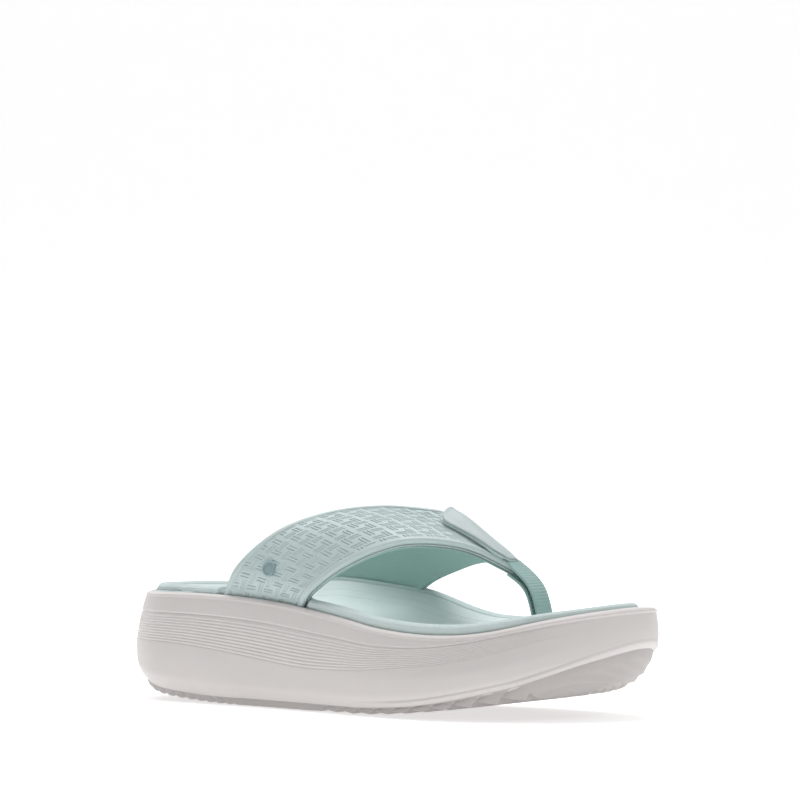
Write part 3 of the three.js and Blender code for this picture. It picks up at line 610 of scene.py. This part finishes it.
def strap_point(u, v):
    """The strap's outer face before its crown. u runs from -1 at the outer foot to 1 at the inner one, and
    past either foot down into the gap beside the footbed. v runs from the rear edge to the front."""
    u, v = np.broadcast_arrays(np.asarray(u, float), np.asarray(v, float))
    shape = u.shape
    u, v = u.ravel(), v.ravel()
    t = np.clip((u + 1) / 2, 0, 1)
    body = mix(curve_at(REAR, t), curve_at(FRONT, t), v[:, None])
    reach = np.abs(u)[:, None]
    body = body + FORWARD * TONGUE * (1 - smooth(reach, 0.03, 0.14)) * smooth(v, 0.5, 1)[:, None]
    out = np.zeros((len(u), 3))
    for side, pick in ((0, u < 0), (1, u >= 0)):
        a, b = REAR_FEET[side] * LENGTH, FRONT_FEET[side] * LENGTH
        foot = foot_of(side, mix(a, b, v[pick]))
        straight = mix(foot_of(side, a), foot_of(side, b), v[pick][:, None])
        bow = (foot - straight) * smooth(reach[pick], 0.6, 1)
        sunk = foot - np.array([0, 0, STRAP_SINK]) * (np.maximum(reach[pick], 1) - 1)
        out[pick] = np.where(reach[pick] >= 1, sunk, body[pick] + bow)
    return out.reshape(*shape, 3)


def unit(v):
    return v / np.linalg.norm(v, axis=-1)[..., None]


def strap_frame(u, v):
    """The crowned outer face, its outward normal and the direction towards the front edge."""
    h = 0.01
    du = strap_point(u + h, v) - strap_point(u - h, v)
    dv = strap_point(u, v + h) - strap_point(u, v - h)
    n = unit(np.cross(dv, du))
    rise = STRAP_CROWN * np.clip(2 * (1 - np.abs(u)), 0, 1) * np.sin(np.pi * np.clip(v, 0, 1))
    return strap_point(u, v) + n * rise[..., None], n, unit(np.cross(du, n))


def strap_stations(n, end=1.9):
    """Even steps along the strap's middle line: u, the distance from the middle, and the width there."""
    fine = np.linspace(-end, end, 3001)
    s = lengths(strap_point(fine, np.full(fine.shape, 0.5)))
    s -= np.interp(0, fine, s)
    even = np.linspace(s[0], s[-1], n)
    u = np.interp(even, s, fine)
    width = np.linalg.norm(strap_point(u, np.ones(n)) - strap_point(u, np.zeros(n)), axis=-1)
    return u, even, width


CELL = (10.2, 10.6)  # the weave's repeat along and across the strap
STROKE = (5.1, 5.4)  # groove lengths along and across
PAIR = 1.55  # between the two grooves of a pair
GROOVE_HALF = 0.31
GROOVE_FLOOR = 0.12
GROOVE_DEPTH = 0.5
BORDER = 3.4
WINDOW_DEPTH = 0.4
EDGE_ROUND = 1.2
# Each pair of grooves in the repeat: its place, in shares of the cell, and whether it runs along the strap.
GROOVE_PAIRS = (((0, 0), True), ((0.05, 0.52), False), ((0.56, 0.1), False), ((0.62, 0.64), True))


def weave_relief(s, t):
    """Depth from 0 to 1 of the embossed basket weave, s along the strap and t across it."""
    depth = np.zeros(np.broadcast(s, t).shape)
    for place, lengthways in GROOVE_PAIRS:
        cell = zip((s, t), CELL, place)
        a, b = ((np.mod(c / size - p + 0.5, 1) - 0.5) * size for c, size, p in cell)
        if not lengthways:
            a, b = b, a
        past = np.maximum(np.abs(a) - STROKE[0 if lengthways else 1] / 2 + GROOVE_HALF, 0)
        for offset in (-PAIR / 2, PAIR / 2):
            away = np.hypot(past, b - offset)
            depth = np.maximum(depth, 1 - smooth(away, GROOVE_FLOOR, GROOVE_HALF + GROOVE_FLOOR))
    return depth


def strap_shell():
    u, s, width = strap_stations(980)
    rows = []

    def row(dist, depth):
        p, n, _ = strap_frame(u, dist / width)
        rows.append(p - n * np.broadcast_to(depth, u.shape)[:, None])

    turns = np.linspace(0, math.pi / 2, 8)
    for a in turns:
        row(np.full(u.shape, EDGE_ROUND * (1 - math.cos(a))), EDGE_ROUND * (1 - math.sin(a)))
    for share in np.linspace(0, 1, 212)[1:-1]:
        dist = mix(EDGE_ROUND, width - EDGE_ROUND, share)
        edge = np.minimum(dist, width - dist)
        window = smooth(edge, BORDER - 0.5, BORDER + 0.3)
        grooves = smooth(edge, BORDER + 0.3, BORDER + 0.7) * weave_relief(s, dist - width / 2)
        row(dist, WINDOW_DEPTH * window + GROOVE_DEPTH * grooves)
    for a in turns[::-1]:
        row(width - EDGE_ROUND * (1 - math.cos(a)), EDGE_ROUND * (1 - math.sin(a)))
    for share in np.linspace(1, 0, 24):
        row(mix(0.15, width - 0.15, share), STRAP_SHELL)
    return dress(closed_strip("strap_shell_mould", rows), "strap", "strap_shell", "strap_shell")


def strap_layer(name, top, thick, inset):
    """A layer under the shell, from a depth of top, with rounded edges this far inside the shell's."""
    u, _, width = strap_stations(460)
    shares = np.linspace(0, 1, 44)
    rows = []
    for depth, order, side in ((top, shares, -1), (top + thick, shares[-2:0:-1], 1)):
        for share in order:
            dist = mix(inset, width - inset, share)
            edge = np.minimum(dist, width - dist)
            p, n, _ = strap_frame(u, dist / width)
            soft = 0.5 * thick * (1 - smooth(edge - inset, 0, thick)) * side
            rows.append(p - n * (depth - soft)[:, None])
    return closed_strip(name, rows)


STITCH_PITCH = 2.6
STITCH_RADIUS = (0.16, 0.1)  # between the stitches, and how much more in their middle
SEAM_DEPTH = STRAP_SHELL + 0.75
SEAM_REACH = 0.97


def seam(name, v, beyond, node):
    """A line of stitches in the seam between the shell and the lining, along one edge of the strap."""
    u, s, _ = strap_stations(1400, SEAM_REACH)
    p, n, across = strap_frame(u, np.full(u.shape, float(v)))
    centre = p - n * SEAM_DEPTH + across * beyond
    radius = STITCH_RADIUS[0] + STITCH_RADIUS[1] * np.abs(np.sin(np.pi * s / STITCH_PITCH)) ** 0.4
    rows = []
    for a in np.linspace(0, 2 * math.pi, 9)[:-1]:
        rows.append(centre + (n * math.cos(a) + across * math.sin(a)) * radius[:, None])
    return dress(closed_strip(name, rows), "thread", "piping", node)


# ---------------------------------------------------------------- footbed
roll_drop = profile([(0, 1.0), (0.04, 0.62), (0.2, 0.16), (0.45, 0), (0.75, 0.1), (1, 0.34)])
DOT_PITCH = 1.35
DOT_HEIGHT = 0.24
DOT_SPAN = 8.6  # across the roll, over its curve
HEEL_LEDGE = 2.0  # at the heel the roll stands this far inside a thin ledge
BRIM_RISE = 0.4
STRAP_ROOM = 5.3  # how far the footbed's edge is set in beside a foot of the strap
ROOM_MARGIN = 1.5
FOOT_RISE = 2.2  # from the recess to the foot of the edge wrap


def knit(s, t):
    """Small raised cells in a brick pattern, from 0 to 1."""
    row = np.floor(t / DOT_PITCH)
    a = np.mod(s / DOT_PITCH + 0.5 * (row % 2), 1) - 0.5
    b = np.mod(t / DOT_PITCH, 1) - 0.5
    return np.clip(1 - 5 * (a * a + b * b), 0, 1)


def strap_gate(loop):
    """1 where a foot of the strap stands beside the footbed, 0 elsewhere round the loop."""
    x = loop.p[:, 0]
    n = len(x) // 2
    gate = np.zeros(len(x))
    for side, pick in ((0, np.arange(len(x)) <= n), (1, np.arange(len(x)) > n)):
        a, b = REAR_FEET[side] * LENGTH - ROOM_MARGIN, FRONT_FEET[side] * LENGTH + ROOM_MARGIN
        gate = np.where(pick, smooth(x, a - 2.5, a) * (1 - smooth(x, b, b + 2.5)), gate)
    return gate


def footbed_roll():
    loop = Loop(920)
    x = loop.p[:, 0]
    along = lengths(loop.p)
    gate = strap_gate(loop)
    ledge = HEEL_LEDGE * (1 - smooth(x, 0.1 * LENGTH, 0.2 * LENGTH))
    start = FOOT_INSET + mix(ledge, STRAP_ROOM, gate)
    side = FOOT_INSET + STRAP_ROOM * gate
    brim = rim_z(loop.ring(FOOT_INSET)) + BRIM_RISE
    rings = [with_z(loop.ring(side), recess_z(x) + FOOT_RISE)]
    for inset, z in ((side + 0.1, brim - 0.3), (side + 0.4, brim), (start - 0.05, brim + 0.02)):
        rings.append(with_z(loop.ring(inset), z))
    for share in np.linspace(0, 1, 46) ** 1.3:
        inset = mix(start, DISH_INSET, share)
        dotted = smooth(share, 0.03, 0.1) * (1 - smooth(share, 0.75, 0.95))
        dots = DOT_HEIGHT * knit(along, share * DOT_SPAN) * dotted
        out = 1 - smooth(share, 0.1, 0.35)
        z = roll_z(loop.ring(inset)) - roll_drop(share) * ROLL_DROP + dots * (1 - out)
        rings.append(with_z(loop.ring(inset - dots * out), z))
    rings.append(with_z(loop.ring(DISH_INSET - 0.6), recess_z(x) + FOOT_RISE))
    return dress(loft("footbed_roll", rings, True), "wrap", "edge_wrap", "footbed_edge_wrap")


COVER_INSET = DISH_INSET + 0.15
COVER_DROP = 0.8  # of the cover's edge below the roll
COVER_THICK = 0.9
COVER_EDGE = 0.022  # share of the way in over which the cover's edge is rounded
CONTOURS = (0.2, 0.34)  # shares of the way in at which a fine line is pressed into the footbed
CONTOUR_DEPTH = 0.3


def dish_ring(loop, share, depth):
    edge = loop.ring(COVER_INSET)
    steep = mix(3, 1.7, inward(edge) * arch_at(edge[:, 0]))
    q = loop.ring(COVER_INSET, share)
    z = mix(dish_z(q[:, 0]), roll_z(edge) - COVER_DROP, (1 - share) ** steep)
    return with_z(q, z - depth)


def footbed_top():
    loop = Loop(330)
    rings = [dish_ring(loop, share, COVER_THICK) for share in (1, 0.5, 0.02)]
    for share in np.r_[0, 0.004, 0.012, COVER_EDGE, np.linspace(0.03, 1, 190)]:
        line = sum(CONTOUR_DEPTH * bump(share, place, 0.014) for place in CONTOURS)
        rings.append(dish_ring(loop, share, 0.5 * (1 - smooth(share, 0, COVER_EDGE)) + line))
    return dress(loft("footbed_top", rings), "foot", "footbed_skin", "footbed_cover")


# ---------------------------------------------------------------- toe post and tab
PAST_TIP = 50  # millimetres for each unit of v past the tip


def middle_frame(v):
    """The strap's middle line seen from the side, carried straight on past its tip where v is over 1."""
    v = np.atleast_1d(np.asarray(v, float))
    p, n, _ = strap_frame(np.zeros(v.shape), np.minimum(v, 1))
    tips, _, _ = strap_frame(np.zeros(2), np.array([0.9, 1.0]))
    p = p + unit(tips[1] - tips[0]) * PAST_TIP * np.maximum(v - 1, 0)[:, None]
    n[:, 1] = 0
    return p, unit(n)


def middle_at(v, depth):
    p, n = middle_frame(v)
    return (p - n * depth)[0][[0, 2]]


POST_KNEE = (3, 13)  # how far behind the post's foot, and over it, its legs start to straighten
POST_TOP = 4  # of its upright part over the footbed
BAR_RADIUS = 1


def post_path():
    """The ribbon's middle line from the side: over the strap's tip, down, round the anchor and up again."""
    half = WEB_THICK / 2
    front = WEB_SPACE / 2 + half
    top = dish_z(POST_X) + POST_TOP
    over, under = -0.15 - half, FOAM_TOP + half
    turn = BAR_RADIUS + LAYER_GAP + half
    anchor = recess_z(POST_X) - BAR_RADIUS

    def leg(x):
        return np.array([x - POST_KNEE[0], top + POST_KNEE[1]]), np.array([x, top])

    knee, heel = leg(POST_X + front)
    down = bezier(middle_at(1.04, over), middle_at(1.24, over), knee, heel, 160)
    knee, heel = leg(POST_X - front)
    up = bezier(heel, knee, middle_at(1.2, 1.8), middle_at(1.0, under), 160)
    angles = np.linspace(0, -math.pi, 60)
    bend = [[POST_X + turn * math.cos(a), anchor + turn * math.sin(a)] for a in angles]
    lead = [middle_at(v, over) for v in np.linspace(0.93, 1.03, 20)]
    return evenly(np.vstack([lead, down, bend, up]), 700)


RIB_PITCH = 1.5
YARN_PITCH = 1.2
RIB_HEIGHT, RIB_SINK = 0.3, 0.16
WEB_EDGE = 0.45  # rounding of the ribbon's edges
WEB_TUCK = 0.86  # its width under the tab, as a share


def post_webbing():
    line = post_path()
    s = lengths(line)
    d = unit(np.roll(line, -1, 0) - np.roll(line, 1, 0))
    d[0], d[-1] = d[1], d[-2]
    normal = np.stack([-d[:, 1], d[:, 0]], 1)
    squares = 1 - smooth(line[:, 1], dish_z(POST_X) + 8, dish_z(POST_X) + 22)
    ribs = np.abs(np.sin(np.pi * s / RIB_PITCH)) ** 0.6
    rows = []
    half_w, half_t = WEB_WIDTH / 2, WEB_THICK / 2
    narrow = mix(WEB_TUCK, 1, smooth(s, 1.5, 5.5))
    shares = np.linspace(-1, 1, 90)
    for side, order in ((1, shares), (-1, shares[-2:0:-1])):
        for share in order:
            w = share * half_w
            yarn = abs(math.sin(math.pi * w / YARN_PITCH)) ** 0.6
            lift = RIB_HEIGHT * ribs * mix(1, yarn, squares) - RIB_SINK
            rim = math.sqrt(max(0, 1 - max(0, abs(w) - half_w + WEB_EDGE) ** 2 / WEB_EDGE**2))
            q = line + normal * (side * rim * (half_t + lift))[:, None]
            rows.append(np.column_stack([q[:, 0], POST_Y + w * narrow, q[:, 1]]))
    return dress(closed_strip("post_webbing", rows), "web", "webbing", "toe_post_webbing")


def strap_under(x, y):
    """Height of the strap's outer face, and its v, at plan points near its middle, by Newton's method."""
    u, v = (y - POST_Y) / 110, (x - 157) / 39
    step = 1e-3
    for _ in range(8):
        p, _, _ = strap_frame(u, v)
        pu, _, _ = strap_frame(u + step, v)
        pv, _, _ = strap_frame(u, v + step)
        a, b = (pu - p)[:, :2] / step, (pv - p)[:, :2] / step
        ex, ey = x - p[:, 0], y - p[:, 1]
        det = a[:, 0] * b[:, 1] - b[:, 0] * a[:, 1]
        u = u + np.clip((ex * b[:, 1] - ey * b[:, 0]) / det, -0.1, 0.1)
        v = v + np.clip((ey * a[:, 0] - ex * a[:, 1]) / det, -0.2, 0.2)
    p, _, _ = strap_frame(u, v)
    return p[:, 2], v


TAB_LOW, TAB_HIGH = (np.array(c) * 1000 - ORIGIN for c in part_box("tab_top"))
TAB_WIDTH = TAB_HIGH[1] - TAB_LOW[1]
TAB_TAPER = 0.68
TAB_BACK_ROUND = 4.2
TAB_FRONT_ROUND = 1.2
TAB_BACK_REACH = 3.0  # how far its back end lies behind the CAD piece's
TAB_BACK_RISE = 2.0
TAB_CLEAR = 0.3
TAB_OVER_WEB = 1.0
TAB_EDGE = 0.55
TAB_CROWN = 0.35


def tab_outline(n):
    """The tab from above: a round back end, tapering sides and a nearly square front end."""
    x0, x1 = TAB_LOW[0] - TAB_BACK_REACH, TAB_HIGH[0]
    half = TAB_WIDTH / 2
    front = half * TAB_TAPER
    side = [(x0, 0)]
    for a in np.linspace(math.pi, math.pi / 2, 24):
        x = x0 + TAB_BACK_ROUND * (1 + math.cos(a))
        side.append((x, half - TAB_BACK_ROUND * (1 - math.sin(a))))
    for a in np.linspace(math.pi / 2, 0, 8):
        x = x1 - TAB_FRONT_ROUND * (1 - math.cos(a))
        side.append((x, front - TAB_FRONT_ROUND * (1 - math.sin(a))))
    side.append((x1, 0))
    side = np.array(side)
    return evenly(np.vstack([side, (side * [1, -1])[::-1]]), n + 1)[:-1]


def tab_layer(name, base, thick, grow=0.0, ridge=0.0):
    """One layer of the tab. base is its height over the strap, grow how far its outline is let out, and ridge
    the height of its raised outline. The lowest layer reaches down to the strap beside the ribbon."""
    loop = tab_outline(260)
    tangent = unit(np.roll(loop, -1, 0) - np.roll(loop, 1, 0))
    outward = np.stack([-tangent[:, 1], tangent[:, 0]], 1)
    spine = np.stack([np.clip(loop[:, 0], TAB_LOW[0] + 6, TAB_HIGH[0] - 4), np.zeros(len(loop))], 1)
    rings = []

    def ring(inset, share, height, raised=1.0, skirt=0.0):
        q = mix(loop - outward * (inset - grow), spine, share) + [0, POST_Y]
        z, v = strap_under(q[:, 0], q[:, 1])
        sides = 1 - smooth(q[:, 0], TAB_HIGH[0] - 4, TAB_HIGH[0] - 1)
        over_web = TAB_OVER_WEB * smooth(v, 0.6, 0.95) * (1 - skirt * sides)
        rise = raised * TAB_BACK_RISE * (1 - smooth(v, 0.0, 0.8))
        rings.append(with_z(q, z + TAB_CLEAR + over_web + rise + height))

    lowest = base == 0
    for share in (1, 0.5, 0):
        ring(0.3, share, base, 0.0 if lowest else 1.0, 1.0 if lowest and share == 0 else 0.0)
    top = base + thick
    for a in np.linspace(0, math.pi / 2, 8):
        ring(TAB_EDGE * (1 - math.cos(a)), 0, top - TAB_EDGE + (TAB_EDGE + ridge) * math.sin(a))
    for inset, height in ((0.9, ridge), (1.15, ridge), (1.45, 0.3 * ridge), (1.75, 0)):
        ring(inset, 0, top + height)
    for share in np.linspace(0, 1, 16)[1:]:
        ring(1.9, share, top + TAB_CROWN * (1 - (1 - share) ** 2))
    return loft(name, rings)


BADGE_AT = (-0.76, 0.4)  # u and v on the strap
BADGE_SINK = 0.55
BADGE_HEIGHT = 1.7
# The badge from its base to the middle of its dome: shares of its radius and of its height.
BADGE_SECTION = (
    (0, 0), (0.96, 0), (1, 0.1), (1, 0.5), (0.97, 0.68), (0.9, 0.78), (0.82, 0.72), (0.76, 0.5), (0.7, 0.46),
    (0.6, 0.52), (0.4, 0.62), (0.2, 0.68), (0, 0.7),
)


def side_badge():
    """A plain round badge with a rolled edge and a shallow dome."""
    low, high = (np.array(c) * 1000 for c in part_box("side_badge"))
    radius = (high[2] - low[2]) / 2
    p, n, across = (part[0] for part in strap_frame(*(np.array([place]) for place in BADGE_AT)))
    centre = p - n * BADGE_SINK
    turns = np.linspace(0, 2 * math.pi, 97)[:-1]
    spoke = np.outer(np.cos(turns), across) + np.outer(np.sin(turns), np.cross(n, across))
    rings = [centre + spoke * radius * share + n * height * BADGE_HEIGHT for share, height in BADGE_SECTION]
    return dress(loft("round_badge", rings), "badge", "badge", "side_badge")


# ---------------------------------------------------------------- stage, camera and lights
CAMERA_TURN = math.radians(37)
CAMERA_RANGE = 1.725
CAMERA_HEIGHT = 0.1365
LENS = 174.5
AIM = (0.525 * LENGTH, 5.4, 0)
SWEEP_START, SWEEP_ROUND = 2.2, 1.2  # in metres, where the floor starts to rise and its radius there


def stage():
    """A pale sweep: the floor, curving up into a backdrop well behind."""
    line = [(-3.0, 0), (SWEEP_START, 0)]
    for a in np.linspace(0, math.pi / 2, 16)[1:]:
        line.append((SWEEP_START + SWEEP_ROUND * math.sin(a), SWEEP_ROUND - SWEEP_ROUND * math.cos(a)))
    line.append((SWEEP_START + SWEEP_ROUND, 4.0))
    view = np.array([-math.sin(CAMERA_TURN), math.cos(CAMERA_TURN)])
    right = np.array([view[1], -view[0]])
    points = [[*(view * d + right * w), z] for d, z in line for w in (-6, 6)]
    faces = [[2 * i, 2 * i + 1, 2 * i + 3, 2 * i + 2] for i in range(len(line) - 1)]
    mesh = bpy.data.meshes.new("sweep")
    mesh.from_pydata(points, [], faces)
    mesh.shade_smooth()
    paper = material("sweep_paper", (0.86, 0.86, 0.86), 0.9, 0.003, 60, 0.05)
    shader = paper.node_tree.nodes["Principled BSDF"]
    shader.inputs["Emission Color"].default_value = (1, 1, 1, 1)
    shader.inputs["Emission Strength"].default_value = 0.46
    mesh.materials.append(paper)
    sweep = bpy.data.objects.new("sweep", mesh)
    bpy.context.scene.collection.objects.link(sweep)


def camera():
    back = np.array([math.sin(CAMERA_TURN), -math.cos(CAMERA_TURN), 0]) * CAMERA_RANGE
    data = bpy.data.cameras.new("camera")
    data.lens = LENS
    data.sensor_width = 36
    data.clip_end = 60
    cam = bpy.data.objects.new("camera", data)
    cam.location = to_frame(AIM) + back + np.array([0, 0, CAMERA_HEIGHT])
    cam.rotation_euler = (math.pi / 2, 0, CAMERA_TURN)
    bpy.context.scene.collection.objects.link(cam)
    bpy.context.scene.camera = cam


def area_light(name, place, size, power):
    data = bpy.data.lights.new(name, "AREA")
    data.size = size
    data.energy = power
    light = bpy.data.objects.new(name, data)
    light.location = place
    x, y, z = place
    light.rotation_euler = (math.atan2(math.hypot(x, y), z), 0, math.atan2(x, -y))
    bpy.context.scene.collection.objects.link(light)


def lights():
    world = bpy.data.worlds.new("studio")
    bpy.context.scene.world = world
    world.use_nodes = True
    world.node_tree.nodes["Background"].inputs["Color"].default_value = (1, 1, 1, 1)
    world.node_tree.nodes["Background"].inputs["Strength"].default_value = 0.39
    area_light("key_above", (-0.2, 0.3, 1.8), 1.2, 21)
    area_light("toe_high", (1.3, 0.3, 1.4), 0.9, 3)
    area_light("heel_high", (-1.3, 0.4, 1.0), 0.9, 4)
    bpy.context.scene.view_settings.view_transform = "Standard"


def finish_nodes():
    """Materials for the CAD nodes that are kept as they are, all of them inside the sandal."""
    for name, mat in (
        ("footbed_core", "foam_inner"), ("insole_board", "board"), ("outer_anchor_plate", "plastic"),
        ("inner_anchor_plate", "plastic"), ("toe_post_anchor", "plastic"),
    ):
        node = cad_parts[name]
        node.data.materials.clear()
        node.data.materials.append(MAT[mat])


# ---------------------------------------------------------------- the sandal
camera()
stage()
lights()
sole_wall()
tread()
footbed_roll()
footbed_top()
strap_shell()
padding = strap_layer("strap_padding", FOAM_TOP, STRAP_FOAM, 0.35)
dress(padding, "foam_inner", "strap_foam", "strap_foam")
lining = strap_layer("strap_lining_cloth", LINING_TOP, STRAP_LINING, 0.1)
dress(lining, "lining", "strap_lining", "strap_lining")
seam("front_seam", 1, -0.15, "front_piping")
seam("rear_seam", 0, 0.15, "rear_piping")
post_webbing()
dress(tab_layer("tab_padding", 0, 0.9), "tab_side", "tab_pad", "tab_pad")
dress(tab_layer("tab_cap", 1.0, 0.8, grow=0.05, ridge=0.2), "tab", "tab_top", "tab_top")
side_badge()
finish_nodes()
